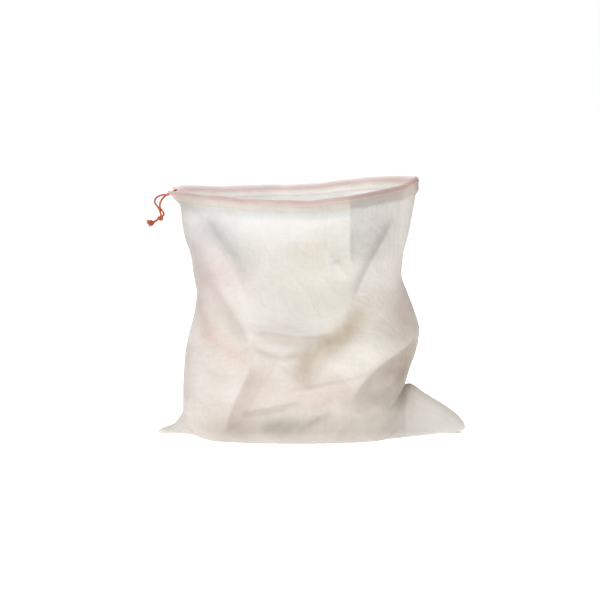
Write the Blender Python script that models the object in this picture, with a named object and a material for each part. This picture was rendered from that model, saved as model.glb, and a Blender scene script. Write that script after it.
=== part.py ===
"""Drawstring mesh laundry bag: two cloth panels, three seams, a hem tunnel on
each side of the mouth, and one cord running through both tunnels to a knot.
Metres, +Z up, the front of the bag faces -Y, the floor is Z = 0."""
import math

import bmesh
import bpy
from mathutils import Vector

# ------------------------------------------------------------ driving sizes
GAP = 0.0003            # air left between pieces that touch
CLOTH = 0.0012          # modelled cloth thickness
SEAM_HALF = 0.0008      # half the thickness of a sewn seam allowance
SEAM_WIDE = 0.0065      # how far the allowance reaches into the bag
SEAM_TALL = 0.0040      # bottom seam allowance
HEM = 0.016             # depth of the folded hem
CORD_R = 0.0012         # cord radius
TUNNEL_HALF = 0.0070    # half distance between the tunnels at a rim end
WALL = 0.36             # cloth length from base edge to rim, per unit of v
NU, NV = 26, 30         # panel grid: pieces across and up
HEM_STEPS = 40          # pieces along a hem
STITCH_V = 1 - (HEM - 0.0015) / WALL
LEVELS = [i / NV for i in range(NV - 1)] + [STITCH_V, 1.0]

# v up the panel: left x, left z, right x, right z, centre z, depth
ROWS = (
    (0.00, -0.1925, 0.0000, 0.1925, 0.0000, 0.000, 0.000),
    (0.04, -0.1850, 0.0080, 0.1875, 0.0160, 0.000, 0.019),
    (0.08, -0.1740, 0.0120, 0.1695, 0.0325, 0.000, 0.038),
    (0.12, -0.1665, 0.0200, 0.1430, 0.0500, 0.000, 0.057),
    (0.16, -0.1620, 0.0310, 0.1240, 0.0610, 0.000, 0.073),
    (0.20, -0.1615, 0.0455, 0.1115, 0.0620, 0.010, 0.083),
    (0.24, -0.1613, 0.0600, 0.1095, 0.0655, 0.032, 0.089),
    (0.28, -0.1605, 0.0750, 0.1165, 0.0745, 0.050, 0.092),
    (0.34, -0.1590, 0.0970, 0.1235, 0.0930, 0.076, 0.094),
    (0.40, -0.1560, 0.1165, 0.1310, 0.1130, 0.101, 0.094),
    (0.46, -0.1510, 0.1360, 0.1340, 0.1320, 0.123, 0.094),
    (0.53, -0.1460, 0.1570, 0.1270, 0.1570, 0.147, 0.092),
    (0.60, -0.1438, 0.1780, 0.1190, 0.1780, 0.170, 0.090),
    (0.68, -0.1475, 0.2020, 0.1112, 0.2020, 0.194, 0.087),
    (0.76, -0.1510, 0.2260, 0.1130, 0.2260, 0.219, 0.085),
    (0.83, -0.1580, 0.2480, 0.1190, 0.2490, 0.242, 0.082),
    (0.90, -0.1615, 0.2690, 0.1235, 0.2720, 0.265, 0.079),
    (0.95, -0.1635, 0.2870, 0.1275, 0.2960, 0.282, 0.078),
    (1.00, -0.1780, 0.3060, 0.1305, 0.3210, 0.300, 0.077),
)
# height of the rim along the front and the back, left end to right end
RIM = {
    -1: ((0.00, 0.3065), (0.06, 0.3050), (0.13, 0.3032), (0.21, 0.3022), (0.29, 0.3008),
         (0.45, 0.2990), (0.53, 0.2984), (0.61, 0.3000), (0.69, 0.3026), (0.775, 0.3054),
         (0.857, 0.3092), (0.90, 0.3116), (0.946, 0.3150), (1.00, 0.3230)),
    1: ((0.00, 0.3080), (0.05, 0.3100), (0.12, 0.3102), (0.20, 0.3090), (0.29, 0.3086),
        (0.48, 0.3093), (0.61, 0.3113), (0.69, 0.3150), (0.77, 0.3190), (0.85, 0.3217),
        (0.93, 0.3230), (1.00, 0.3232)),
}

TOP_Z, LEFT_TOP, RIGHT_TOP = 0.300, 0.306, 0.321    # rim heights of the last row

# cord outside the bag, from the tunnel mouths to the knot
EXIT = (-0.1795, 0.0, 0.3005)
FRONT_STRAND = (
    (-0.1795, -0.0040, 0.3005), (-0.1837, -0.0038, 0.3006),
    (-0.1878, -0.0035, 0.2999), (-0.1917, -0.0033, 0.2982),
    (-0.1946, -0.0031, 0.2953), (-0.1953, -0.0028, 0.2912),
    (-0.1934, -0.0026, 0.2876), (-0.1908, -0.0024, 0.2843),
    (-0.1891, -0.0021, 0.2805), (-0.1880, -0.0018, 0.2764),
)
BACK_STRAND = (
    (-0.1795, 0.0040, 0.3005), (-0.1826, 0.0038, 0.2989),
    (-0.1851, 0.0036, 0.2966), (-0.1872, 0.0034, 0.2939),
    (-0.1888, 0.0032, 0.2908), (-0.1895, 0.0030, 0.2875),
    (-0.1892, 0.0028, 0.2841), (-0.1873, 0.0026, 0.2812),
    (-0.1852, 0.0023, 0.2785), (-0.1846, 0.0018, 0.2752),
)
KNOT_AT = (-0.1885, 0.0, 0.2716)
KNOT_HALF = (0.0042, 0.0034, 0.0028)
KNOT_TILT = math.radians(-30)
FRONT_TAIL = (
    (-0.1925, -0.0014, 0.2690), (-0.1962, -0.0017, 0.2667),
    (-0.1995, -0.0019, 0.2640), (-0.2022, -0.0020, 0.2616),
)
BACK_TAIL = (
    (-0.1929, 0.0014, 0.2697), (-0.1968, 0.0017, 0.2677),
    (-0.2014, 0.0019, 0.2677), (-0.2062, 0.0020, 0.2692),
)
TAIL_RADII = (0.0011, 0.0012, 0.0017, 0.0023)

COLOURS = {
    "cloth": (0.86, 0.83, 0.76, 1.0),
    "hem": (0.84, 0.79, 0.74, 1.0),
    "seam": (0.80, 0.77, 0.70, 1.0),
    "thread": (0.88, 0.86, 0.80, 1.0),
    "cord": (0.80, 0.20, 0.06, 1.0),
}


# ------------------------------------------------------------ small helpers
def clear_scene():
    for old in list(bpy.data.objects):
        bpy.data.objects.remove(old, do_unlink=True)


def paint(obj, key):
    mat = bpy.data.materials.new(obj.name + "_mat")
    mat.use_nodes = True
    shader = mat.node_tree.nodes["Principled BSDF"]
    shader.inputs["Base Color"].default_value = COLOURS[key]
    shader.inputs["Roughness"].default_value = 0.9
    obj.data.materials.append(mat)


def make(name, verts, faces, key):
    mesh = bpy.data.meshes.new(name)
    mesh.from_pydata([tuple(p) for p in verts], [], faces)
    bm = bmesh.new()
    bm.from_mesh(mesh)
    bmesh.ops.recalc_face_normals(bm, faces=bm.faces)
    bm.to_mesh(mesh)
    bm.free()
    obj = bpy.data.objects.new(name, mesh)
    bpy.context.scene.collection.objects.link(obj)
    paint(obj, key)
    return obj


def ease(t):
    t = min(1.0, max(0.0, t))
    return t * t * (3 - 2 * t)


def along(rows, v):
    """Monotone cubic through a table whose first column is v."""
    v = min(rows[-1][0], max(rows[0][0], v))
    i = 0
    while i < len(rows) - 2 and v > rows[i + 1][0]:
        i += 1
    a, b = rows[i], rows[i + 1]
    h = b[0] - a[0]
    t = (v - a[0]) / h
    out = []
    for c in range(1, len(a)):
        def slope(k):
            if k <= 0 or k >= len(rows) - 1:
                j = 0 if k <= 0 else len(rows) - 2
                return (rows[j + 1][c] - rows[j][c]) / (rows[j + 1][0] - rows[j][0])
            s0 = (rows[k][c] - rows[k - 1][c]) / (rows[k][0] - rows[k - 1][0])
            s1 = (rows[k + 1][c] - rows[k][c]) / (rows[k + 1][0] - rows[k][0])
            return 0.0 if s0 * s1 <= 0 else 2 * s0 * s1 / (s0 + s1)
        m0, m1 = slope(i), slope(i + 1)
        out.append((2 * t ** 3 - 3 * t ** 2 + 1) * a[c] + (t ** 3 - 2 * t ** 2 + t) * h * m0
                   + (3 * t ** 2 - 2 * t ** 3) * b[c] + (t ** 3 - t ** 2) * h * m1)
    return out


def end_gap(v):
    """Distance of a panel's side edge from the plane between the panels."""
    return SEAM_HALF + GAP + (TUNNEL_HALF - SEAM_HALF - GAP) * ease((v - 0.88) / 0.10)


def skin(side, u, v):
    """Outer face of a panel: side -1 is the front, +1 the back."""
    lx, lz, rx, rz, cz, depth = along(ROWS, v)
    mouth = ease((v - 0.66) / 0.30)
    s = math.sin(math.pi * min(1.0, max(0.0, u)))
    g = (1 - mouth) * (1 - math.cos(math.pi * u)) / 2 + mouth * u
    corner = max(0.0, 1 - s / 0.8) ** 2
    z = cz + (lz + (rz - lz) * ease(u) - cz) * corner
    top = TOP_Z + (LEFT_TOP + (RIGHT_TOP - LEFT_TOP) * ease(u) - TOP_Z) * corner
    z += (along(RIM[side], u)[0] - top) * ease((v - 0.70) / 0.30)
    y = end_gap(v) + depth * max(0.0, s) ** (0.8 + 0.2 * mouth)
    return Vector((lx + (rx - lx) * g, side * y, max(0.0, z)))


def normal(side, u, v):
    e = 0.004
    du = skin(side, min(1, u + e), v) - skin(side, max(0, u - e), v)
    dv = skin(side, u, min(1, v + e)) - skin(side, u, max(0, v - e))
    n = du.cross(dv).normalized()
    return n if side < 0 else -n


def inside(side, u, v, deep):
    """Point of the inner face, kept on its own side of the middle plane."""
    p, n = skin(side, u, v), normal(side, u, v)
    if u < 1e-6 or u > 1 - 1e-6 or v < 1e-6:
        flat = Vector((n.x, 0, n.z))
        return p - flat * (deep / max(0.15, flat.length_squared))
    q = p - n * deep
    q.y = side * max(side * q.y, end_gap(v))
    return q


def grid_shell(name, outer, inner, key):
    """Closed body between two equal grids of points."""
    rows, cols = len(outer), len(outer[0])
    verts = [p for row in outer for p in row] + [p for row in inner for p in row]
    half = rows * cols
    faces = []
    for r in range(rows - 1):
        for c in range(cols - 1):
            a, b = r * cols + c, r * cols + c + 1
            d, e = a + cols, b + cols
            faces.append((a, b, e, d))
            faces.append((half + a, half + d, half + e, half + b))
    rim = [c for c in range(cols)]
    rim += [r * cols + cols - 1 for r in range(1, rows)]
    rim += [(rows - 1) * cols + c for c in range(cols - 2, -1, -1)]
    rim += [r * cols for r in range(rows - 2, 0, -1)]
    for i, a in enumerate(rim):
        b = rim[(i + 1) % len(rim)]
        faces.append((a, half + a, half + b, b))
    return make(name, verts, faces, key)


def loft(name, rings, key, closed=True):
    """Closed body through a list of equal rings, with flat ends."""
    n = len(rings[0])
    verts = [p for ring in rings for p in ring]
    faces = []
    for i in range(len(rings) - 1):
        for j in range(n):
            k = (j + 1) % n
            faces.append((i * n + j, i * n + k, (i + 1) * n + k, (i + 1) * n + j))
    if closed:
        faces.append(tuple(range(n)))
        faces.append(tuple((len(rings) - 1) * n + j for j in range(n)))
    return make(name, verts, faces, key)


def smooth(points, step):
    """Catmull-Rom curve through the points, sampled about every step."""
    pts = [Vector(p) for p in points]
    pts = [pts[0] * 2 - pts[1]] + pts + [pts[-1] * 2 - pts[-2]]
    fine = []
    for i in range(1, len(pts) - 2):
        p0, p1, p2, p3 = pts[i - 1:i + 3]
        for k in range(12):
            t = k / 12
            fine.append(0.5 * (2 * p1 + (p2 - p0) * t
                               + (2 * p0 - 5 * p1 + 4 * p2 - p3) * t * t
                               + (3 * p1 - p0 - 3 * p2 + p3) * t ** 3))
    fine.append(pts[-2])
    total = sum((b - a).length for a, b in zip(fine, fine[1:]))
    count = max(3, round(total / step))
    out, walked, want = [fine[0]], 0.0, total / count
    for a, b in zip(fine, fine[1:]):
        seg = (b - a).length
        while walked + seg >= want - 1e-9 and len(out) < count:
            out.append(a.lerp(b, (want - walked) / seg))
            want += total / count
        walked += seg
    out.append(fine[-1])
    return out


def cord(name, points, step=0.006, radius=CORD_R):
    """Round cord along a smooth curve through the points."""
    data = bpy.data.curves.new(name, "CURVE")
    data.dimensions = "3D"
    data.bevel_depth = radius
    data.bevel_resolution = 2
    data.use_fill_caps = True
    data.render_resolution_u = 0
    path = smooth(points, step)
    line = data.splines.new("POLY")
    line.points.add(len(path) - 1)
    for spot, p in zip(line.points, path):
        spot.co = (p.x, p.y, p.z, 1.0)
    obj = bpy.data.objects.new(name, data)
    bpy.context.scene.collection.objects.link(obj)
    paint(obj, "cord")
    return obj


# ------------------------------------------------------------ the bag
def panel(name, side):
    us = [i / NU for i in range(NU + 1)]
    outer = [[skin(side, u, v) for u in us] for v in LEVELS]
    inner = [[inside(side, u, v, CLOTH) for u in us] for v in LEVELS]
    return grid_shell(name, outer, inner, "cloth")


def side_seam(name, u, low, high):
    """Seam allowance in the plane between the panels. Near a closed rim end it
    widens into the fold that carries the tunnels round the end."""
    rings = []
    sign = 1.0 if u < 0.5 else -1.0
    between = [v for v in LEVELS if low + 0.01 < v < high - 0.01]
    for v in [low] + between + [high]:
        at = skin(-1, u, v)
        du = skin(-1, u, min(1, v + 0.01)) - skin(-1, u, max(0, v - 0.01))
        up = Vector((du.x, 0, du.z)).normalized()
        inward = Vector((up.z, 0, -up.x)) * sign
        wide = SEAM_WIDE - (SEAM_WIDE - 0.0015) * ease((v - 0.84) / 0.06)
        if v < 0.30:
            room = (at.z - SEAM_TALL - GAP) / max(0.05, -inward.z)
            wide = min(wide, max(0.0009, 0.9 * room))
        deep = at + inward * wide
        thick = end_gap(v) - GAP
        rings.append([(at.x, -thick, at.z), (at.x, thick, at.z),
                      (deep.x, thick, deep.z), (deep.x, -thick, deep.z)])
    return loft(name, rings, "seam")


def bottom_seam():
    outline = ((-0.1905, 0.0), (0.1905, 0.0), (0.1855, SEAM_TALL - 0.0014),
               (0.1800, SEAM_TALL), (-0.1790, SEAM_TALL), (-0.1850, SEAM_TALL - 0.0014))
    rings = [[(x, y, z) for x, z in outline] for y in (-SEAM_HALF, SEAM_HALF)]
    return loft("bottom_seam", rings, "seam")


def rim_point(side, u, down, deep):
    """Point a given depth below the rim and inside the outer face."""
    p = skin(side, u, 1 - down / WALL)
    n = normal(side, u, 1.0)
    flat = Vector((n.x, n.y, 0)).normalized()
    return p - flat * deep


def casing(name, side):
    """Hem turned to the inside: a roof over the cord and a wall down to the
    stitching, open at both ends."""
    mm = 0.001
    low = HEM / mm
    section = ((0.0, 1.6), (0.0, 5.2), (0.7, 6.0), (5.0, 6.0), (10.0, 3.3),
               (low, 3.0), (low, 1.8), (10.0, 1.9), (5.6, 4.8), (1.2, 4.8),
               (1.2, 1.6))
    rings = []
    for i in range(HEM_STEPS + 1):
        u = 0.015 + 0.93 * i / HEM_STEPS
        rings.append([rim_point(side, u, d * mm, s * mm) for d, s in section])
    return loft(name, rings, "hem")


def hem_stitching(name, side):
    """Thread of the hem's seam, lying just outside the panel."""
    rings = []
    for i in range(HEM_STEPS + 1):
        u = 0.02 + 0.96 * i / HEM_STEPS
        p, n = skin(side, u, STITCH_V), normal(side, u, STITCH_V)
        up = Vector((0, 0, 1)) - n * n.z
        up.normalize()
        rings.append([p + n * (GAP + h) + up * w for h, w in
                      ((0.0, -0.0004), (0.0, 0.0004), (0.0005, 0.0004), (0.0005, -0.0004))])
    return loft(name, rings, "thread")


# ------------------------------------------------------------ the drawcord
RUN_DOWN, RUN_DEEP = 0.0029, 0.0030


def cord_run(name, side):
    pts = [rim_point(side, u, RUN_DOWN, RUN_DEEP)
           for u in [0.004 + 0.931 * i / 20 for i in range(21)]]
    return cord(name, pts)


def cord_bend():
    ends = [rim_point(side, 0.937, RUN_DOWN, RUN_DEEP) for side in (-1, 1)]
    near = [rim_point(side, 0.957, RUN_DOWN, RUN_DEEP) for side in (-1, 1)]
    a, b = ends
    tip = skin(-1, 1.0, 0.992) - Vector((0.0042, 0, 0))
    low = near[0].z * 0.5 + near[1].z * 0.5
    mids = [(tip.x - 0.0050, a.y * 0.50, low * 0.4 + tip.z * 0.6),
            (tip.x - 0.0014, a.y * 0.26, low * 0.1 + tip.z * 0.9), (tip.x, 0.0, tip.z),
            (tip.x - 0.0014, b.y * 0.26, low * 0.1 + tip.z * 0.9),
            (tip.x - 0.0050, b.y * 0.50, low * 0.4 + tip.z * 0.6)]
    return cord("cord_bend", [a, near[0]] + mids + [near[1], b], 0.003)


def knot():
    """Two strands tied in one overhand knot, drawn as a ridged bead."""
    n, m = 14, 9
    verts, faces = [], []
    tilt = Vector((math.cos(KNOT_TILT), 0, -math.sin(KNOT_TILT)))
    across = Vector((math.sin(KNOT_TILT), 0, math.cos(KNOT_TILT)))
    for i in range(1, m):
        phi = math.pi * i / m
        for j in range(n):
            th = 2 * math.pi * j / n
            r = 1 + 0.10 * math.cos(2 * th + 3 * phi)
            x, y, z = (math.cos(phi), math.sin(phi) * math.cos(th) * r,
                       math.sin(phi) * math.sin(th) * r)
            verts.append(Vector(KNOT_AT) + tilt * (x * KNOT_HALF[0])
                         + Vector((0, y * KNOT_HALF[1], 0)) + across * (z * KNOT_HALF[2]))
    for i in range(m - 2):
        for j in range(n):
            k = (j + 1) % n
            faces.append((i * n + j, i * n + k, (i + 1) * n + k, (i + 1) * n + j))
    for row, x in ((0, 1), (m - 2, -1)):
        pole = len(verts)
        verts.append(Vector(KNOT_AT) + tilt * (x * KNOT_HALF[0]))
        faces += [(row * n + j, row * n + (j + 1) % n, pole) for j in range(n)]
    return make("knot", verts, faces, "cord")


def tail(name, points):
    """Cut cord end beyond the knot, its fibres spreading into a brush."""
    pts = [Vector(p) for p in points]
    rings = []
    for i, p in enumerate(pts):
        t = (pts[min(i + 1, len(pts) - 1)] - pts[max(i - 1, 0)]).normalized()
        a = t.cross(Vector((0, 1, 0))).normalized()
        b = t.cross(a)
        r = TAIL_RADII[i]
        flat = min(r, 0.00135)
        rings.append([p + a * (r * math.cos(k * math.pi / 5))
                      + b * (flat * math.sin(k * math.pi / 5)) for k in range(10)])
    return loft(name, rings, "cord")


def build():
    clear_scene()
    panel("front_panel", -1)
    panel("back_panel", 1)
    side_seam("left_side_seam", 0.0, 0.075, 0.895)
    side_seam("right_side_seam", 1.0, 0.055, 1.0)
    bottom_seam()
    casing("front_casing", -1)
    casing("back_casing", 1)
    hem_stitching("front_hem_stitching", -1)
    hem_stitching("back_hem_stitching", 1)
    cord_run("front_cord_run", -1)
    cord_run("back_cord_run", 1)
    cord_bend()
    cord("front_strand", FRONT_STRAND)
    cord("back_strand", BACK_STRAND)
    knot()
    tail("front_tail", FRONT_TAIL)
    tail("back_tail", BACK_TAIL)


build()
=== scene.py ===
"""Looks of the drawstring mesh laundry bag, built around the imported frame.
Metres, +Z up, the bag's front faces -Y and its floor is Z = 0."""
import math

import bpy
import numpy as np
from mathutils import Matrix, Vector


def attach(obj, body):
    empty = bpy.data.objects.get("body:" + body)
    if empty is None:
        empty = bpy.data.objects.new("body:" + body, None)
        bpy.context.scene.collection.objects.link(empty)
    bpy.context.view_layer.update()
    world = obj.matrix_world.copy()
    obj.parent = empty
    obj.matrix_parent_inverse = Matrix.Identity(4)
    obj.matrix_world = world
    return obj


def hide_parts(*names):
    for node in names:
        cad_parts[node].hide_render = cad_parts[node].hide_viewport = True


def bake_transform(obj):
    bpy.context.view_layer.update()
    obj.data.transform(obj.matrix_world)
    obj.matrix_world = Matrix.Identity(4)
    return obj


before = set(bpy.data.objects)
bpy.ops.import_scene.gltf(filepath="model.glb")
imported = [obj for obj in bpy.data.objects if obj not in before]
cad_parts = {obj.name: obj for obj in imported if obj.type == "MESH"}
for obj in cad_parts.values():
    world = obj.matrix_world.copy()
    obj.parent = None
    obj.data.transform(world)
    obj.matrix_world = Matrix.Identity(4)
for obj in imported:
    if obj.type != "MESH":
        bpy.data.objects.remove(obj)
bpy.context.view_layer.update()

MM = 0.001
RNG = np.random.default_rng(11)

# -------------------------------------------------- camera
AIM = Vector((-0.0150, 0.0, 0.1688))
DISTANCE, ELEVATION, LENS = 2.604, math.radians(6.5), 125.0


def camera():
    data = bpy.data.cameras.new("camera")
    data.lens = LENS
    data.sensor_width = 36.0
    data.dof.use_dof = False
    cam = bpy.data.objects.new("camera", data)
    bpy.context.scene.collection.objects.link(cam)
    back = Vector((0, -math.cos(ELEVATION), math.sin(ELEVATION)))
    cam.location = AIM + back * DISTANCE
    cam.rotation_euler = (AIM - cam.location).to_track_quat("-Z", "Y").to_euler()
    bpy.context.scene.camera = cam


camera()

# -------------------------------------------------- sizes
CORD_R = 1.2 * MM
END_R = 1.08 * MM           # the cut ends of the cord, a little untwisted
KNOT_R, KNOT_SCALE = 1.22 * MM, 1.12 * MM
LAY = 7.5 * MM              # length of one turn of the cord's strands
CORD_STEP, STRAND_STEP = 0.45 * MM, 0.4 * MM    # spacing of a cord's rings
BEND_FROM = 0.937           # along the rim: where the cord's far bend starts
TUNNEL_HALF = 7.0 * MM      # half distance between the tunnels at a rim end
WALL = 0.36                 # cloth length per unit of v
FLAT = (0.390, 0.390)       # a panel laid flat, up to the fold of the hem
ROLL_DOWN, ROLL_DEEP, ROLL_R = 3.3, 3.4, 3.2    # mm: where the cord lies under the rim
SEAM_WIDE = 6.5 * MM        # seam allowance
BASE_HALF = 0.188           # half length of the base seam
HOLLOW = 14.0               # mm: how far the slack front hangs inward
CRUMPLE, PUCKER = 0.8, 0.22     # mm: heights of the pressed creases and of the hem's puckers
HOLD, SLACK, SIM_FRAMES = 0.24, -0.004, 20      # cloth simulation: hold, spare cloth, length
FLOOR_GLOW, WORLD_FILL, KEY, TOP, BACK = 0.72, 0.47, 24.0, 10.0, 26.0

# v up the panel: left x, left z, right x, right z, centre z, depth
ROWS = np.array((
    (0, -.1945, 0, .186, 0, 0, 0),
    (.02, -.1915, .005, .193, .0085, 0, .01),
    (.05, -.18, .0095, .1845, .0215, 0, .025),
    (.08, -.1735, .012, .1705, .033, 0, .038),
    (.12, -.1665, .02, .1425, .0505, 0, .057),
    (.16, -.1618, .03, .1225, .0632, 0, .073),
    (.2, -.1615, .045, .111, .06, .01, .083),
    (.24, -.1613, .06, .108, .063, .032, .089),
    (.28, -.1605, .075, .1165, .073, .05, .092),
    (.34, -.159, .097, .1235, .092, .076, .094),
    (.4, -.156, .1165, .131, .113, .101, .094),
    (.46, -.151, .136, .134, .131, .123, .094),
    (.53, -.146, .157, .127, .157, .147, .092),
    (.6, -.1438, .178, .119, .178, .17, .09),
    (.68, -.1475, .202, .1112, .202, .194, .087),
    (.76, -.151, .226, .113, .226, .219, .085),
    (.83, -.158, .248, .119, .249, .242, .082),
    (.9, -.1615, .269, .1235, .272, .265, .079),
    (.95, -.1635, .287, .1275, .296, .282, .078),
    (.975, -.169, .2965, .1292, .3085, .291, .0775),
    (1.00, -.1766, .306, .1305, .321, .3, .077),
))
# height of the rim along the front and the back, left end to right end
RIM = {
    -1: np.array(((0, .3062), (.06, .305), (.13, .3032), (.21, .3022), (.29, .3008), (.45, .299),
                  (.53, .2982), (.61, .2998), (.69, .3028), (.775, .3052), (.857, .3096),
                  (.9, .3118), (.94, .3146), (.975, .3205), (1, .3232))),
    1: np.array(((0, .31), (.04, .3118), (.12, .3103), (.2, .309), (.29, .3086), (.48, .3093),
                 (.61, .3113), (.69, .315), (.77, .319), (.85, .3218), (.93, .3232), (1, .3236))),
}
TOP_Z, LEFT_TOP, RIGHT_TOP = ROWS[-1, 5], ROWS[-1, 2], ROWS[-1, 4]
LEFT_END, RIGHT_END = {-1: -4.4 * MM, 1: 0.6 * MM}, 3.4 * MM    # the rim's ends reach out by this
OPEN_V = 0.950              # the left side is sewn up to here
STITCH_DOWN = 14.5          # mm: the hem's stitching below the rim

# cord outside the bag, from the tunnel mouths to the knot
STRANDS = {
    "front": ((-.1795, -.004, .3005), (-.1837, -.0038, .3006), (-.1878, -.0035, .2999),
              (-.1917, -.0033, .2982), (-.1946, -.0031, .2953), (-.1953, -.0028, .2912),
              (-.1934, -.0026, .2876), (-.1908, -.0024, .2843), (-.1891, -.0021, .2805),
              (-.188, -.0018, .2764)),
    "back": ((-.1795, .004, .3005), (-.1826, .0038, .2989), (-.1851, .0036, .2966),
             (-.1872, .0034, .2939), (-.1888, .0032, .2908), (-.1895, .003, .2875),
             (-.1892, .0028, .2841), (-.1873, .0026, .2812), (-.1852, .0023, .2785),
             (-.1846, .0018, .2752)),
}
INTO_KNOT = {"front": (-.1876, -.001, .2738), "back": (-.1862, .001, .2732)}
KNOT_AT = Vector((-0.1885, 0.0, 0.2716))
TAILS = {
    "front": ((-.189, -.001, .2712), (-.1925, -.0012, .269), (-.1952, -.0013, .2671),
              (-.197, -.0014, .2658)),
    "back": ((-.189, .001, .2715), (-.1929, .001, .2693), (-.1956, .001, .2676),
             (-.198, .001, .2668)),
}
# where the loose fibres of each cut end point
FAN = {"front": (-0.2024, -0.0018, 0.2612), "back": (-0.2068, 0.0014, 0.2690)}


# -------------------------------------------------- shape
def ease(t):
    t = np.clip(t, 0.0, 1.0)
    return t * t * (3 - 2 * t)


def bump(d):
    """Smooth hill of height 1, half as high at d = 1."""
    return np.exp(-0.6931 * d * d)


def table(rows, v):
    """Monotone cubic through a table whose first column is v."""
    x, y = rows[:, 0], rows[:, 1:]
    h = np.diff(x)[:, None]
    s = np.diff(y, axis=0) / h
    m = np.zeros_like(y)
    m[0], m[-1] = s[0], s[-1]
    prod = s[:-1] * s[1:]
    total = s[:-1] + s[1:]
    m[1:-1] = np.where(prod > 0, 2 * prod / np.where(total == 0, 1, total), 0)
    v = np.clip(v, x[0], x[-1])
    i = np.clip(np.searchsorted(x, v, side="right") - 1, 0, len(x) - 2)
    t = ((v - x[i]) / h[i, 0])[..., None]
    hh = h[i]
    return ((2 * t ** 3 - 3 * t ** 2 + 1) * y[i] + (t ** 3 - 2 * t ** 2 + t) * hh * m[i]
            + (3 * t ** 2 - 2 * t ** 3) * y[i + 1] + (t ** 3 - t ** 2) * hh * m[i + 1])


def lengths(line):
    """Distance along a line to each of its points."""
    return np.concatenate(([0], np.cumsum(np.linalg.norm(np.diff(line, axis=0), axis=1))))


def rim_wave(side, u):
    """Small unevenness of a sewn rim, in metres."""
    a = np.sin(2 * np.pi * (3.1 * u + 0.21 * side)) + 0.7 * np.sin(2 * np.pi * (7.3 * u + 0.4 * side))
    return 0.35 * MM * a * np.sin(np.pi * u) ** 0.5


def end_gap(u, v):
    """Half distance between the panels: nothing at the seams, room for the two
    tunnels at the open left end, and a rounded fold at the closed right end."""
    wide = TUNNEL_HALF * ease((v - 0.88) / 0.10)
    left = ease((v - OPEN_V + 0.02) / 0.02)
    rise = np.sqrt(np.clip(1 - (1 - np.clip(u / 0.05, 0, 1)) ** 2, 0, 1))
    fall = np.sqrt(np.clip(1 - (1 - np.clip((1 - u) / 0.05, 0, 1)) ** 2, 0, 1))
    return wide * np.maximum(rise, left) * fall


def skin(side, u, v):
    """Outer face of a panel before its folds: side -1 is the front, +1 the back."""
    u, v = np.broadcast_arrays(np.asarray(u, float), np.asarray(v, float))
    lx, lz, rx, rz, cz, depth = np.moveaxis(table(ROWS, v), -1, 0)
    mouth = ease((v - 0.66) / 0.30)
    s = np.sin(np.pi * np.clip(u, 0, 1))
    g = (1 - mouth) * (1 - np.cos(np.pi * u)) / 2 + mouth * u
    corner = np.maximum(0.0, 1 - s / 0.8) ** 2
    z = cz + (lz + (rz - lz) * ease(u) - cz) * corner
    top_z = TOP_Z + (LEFT_TOP + (RIGHT_TOP - LEFT_TOP) * ease(u) - TOP_Z) * corner
    z = z + (table(RIM[side], u)[..., 0] - top_z) * ease((v - 0.70) / 0.30)
    z = z + rim_wave(side, u) * ease((v - 0.85) / 0.10)
    y = end_gap(u, v) + depth * np.maximum(0.0, s) ** (0.8 + 0.2 * mouth)
    lx = lx + LEFT_END[side] * ease((v - 0.945) / 0.035)
    rx = rx + RIGHT_END * ease((v - 0.953) / 0.014) * (1 - 0.55 * ease((v - 0.986) / 0.014))
    return np.stack((lx + (rx - lx) * g, side * y, np.maximum(0.0, z)), -1)


def outward(side, u):
    """Level direction out of the bag at the rim."""
    u = np.asarray(u, float)
    e = 0.004
    d = skin(side, np.minimum(1, u + e), 1.0) - skin(side, np.maximum(0, u - e), 1.0)
    n = np.stack((d[..., 1], -d[..., 0]), -1) * -side
    n = n / np.linalg.norm(n, axis=-1, keepdims=True)
    return np.concatenate((n, np.zeros(n.shape[:-1] + (1,))), -1)


# -------------------------------------------------- folds
def from_line(x, z, line):
    """Distance to the right of a polyline in the plane of the panel, and how far
    along it the nearest point is, from 0 to 1."""
    line = np.asarray(line, float)
    seg = np.diff(line, axis=0)
    size = np.linalg.norm(seg, axis=1)
    gone = lengths(line)
    best = np.full(np.shape(x), 1e9)
    off, at = np.zeros(np.shape(x)), np.zeros(np.shape(x))
    for (ax, az), (dx, dz), length, start in zip(line, seg, size, gone):
        t = np.clip(((x - ax) * dx + (z - az) * dz) / length ** 2, 0, 1)
        px, pz = x - ax - t * dx, z - az - t * dz
        d = np.hypot(px, pz)
        near = d < best
        best = np.where(near, d, best)
        off = np.where(near, d * np.sign(pz * dx - px * dz + 1e-12), off)
        at = np.where(near, (start + t * length) / gone[-1], at)
    return off, at


def ridge(x, z, line, left, right, fade=0.22):
    """Hill along a polyline, with its own half width on each side of it; the line
    is taken from its upper end or its left, so right is the side of larger x or z."""
    off, at = from_line(x, z, line)
    hill = np.where(off < 0, bump(off / left), bump(off / right))
    return hill * ease(at / fade + 0.15) * ease((1 - at) / fade + 0.15)


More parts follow.
